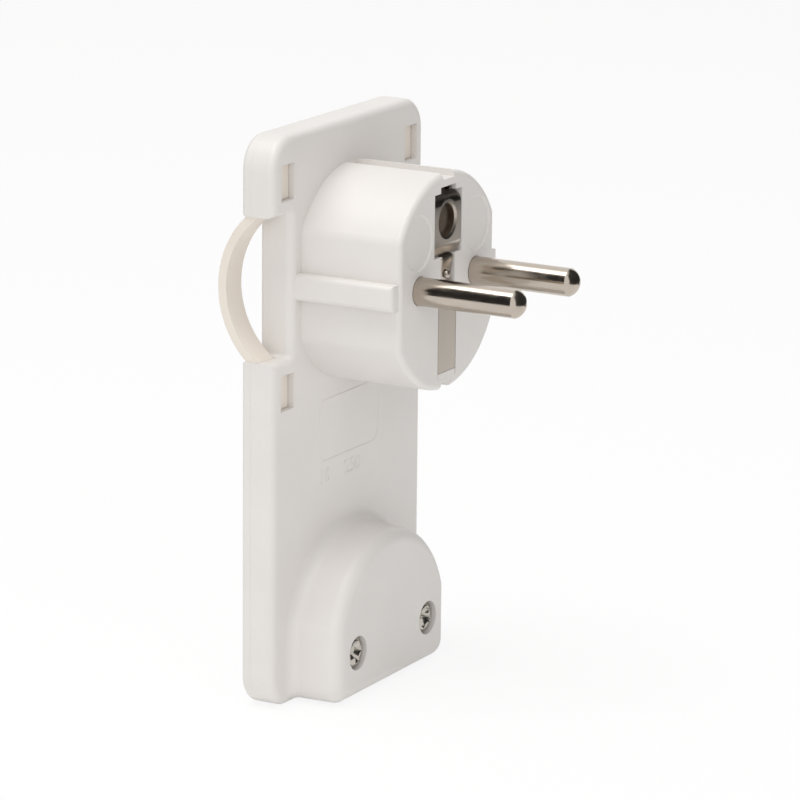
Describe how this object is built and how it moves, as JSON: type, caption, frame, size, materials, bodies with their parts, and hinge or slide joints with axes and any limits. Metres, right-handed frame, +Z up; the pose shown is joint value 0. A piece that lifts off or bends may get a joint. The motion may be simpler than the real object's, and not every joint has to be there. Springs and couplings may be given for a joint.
{
  "type": "earthed mains plug",
  "caption": "Extra-flat rewirable earthed mains plug for wall sockets, with a round recessed head, a tall flat body and a pull bow on each side.",
  "frame": {"origin": "centre of the head's front face, halfway between the two pins", "axes": "+Z up along the tall flat body, -Y out of the face towards the socket, +X across the width, to the right of someone who looks along +Y"},
  "size_m": [0.05, 0.049, 0.0971],
  "materials": {
    "white_housing": "white moulded thermoplastic, satin",
    "cream_nylon": "cream nylon, satin",
    "nickel_plated_brass": "bright nickel plating on brass",
    "nickel_plated_sheet": "nickel-plated brass sheet, as rolled",
    "zinc_steel": "bright zinc plating",
    "inner_plastic": "natural moulded thermoplastic"
  },
  "bodies": {
    "root": {"front_housing": "white_housing", "back_cover": "white_housing", "pull_bow_left": "cream_nylon", "pull_bow_right": "cream_nylon", "pin_left": "nickel_plated_brass", "pin_right": "nickel_plated_brass", "earth_pin_socket": "nickel_plated_sheet", "earth_strip": "nickel_plated_sheet", "earth_terminal": "nickel_plated_sheet", "earth_rivet": "nickel_plated_sheet", "earth_washer": "nickel_plated_sheet", "earth_screw": "zinc_steel", "terminal_screw_left": "zinc_steel", "terminal_screw_right": "zinc_steel", "clamp_screw_left": "zinc_steel", "clamp_screw_right": "zinc_steel", "housing_screw_left": "zinc_steel", "housing_screw_right": "zinc_steel", "housing_nut_left": "zinc_steel", "housing_nut_right": "zinc_steel", "contact_carrier": "inner_plastic", "cord_clamp_bar": "inner_plastic"}
  },
  "joints": []
}
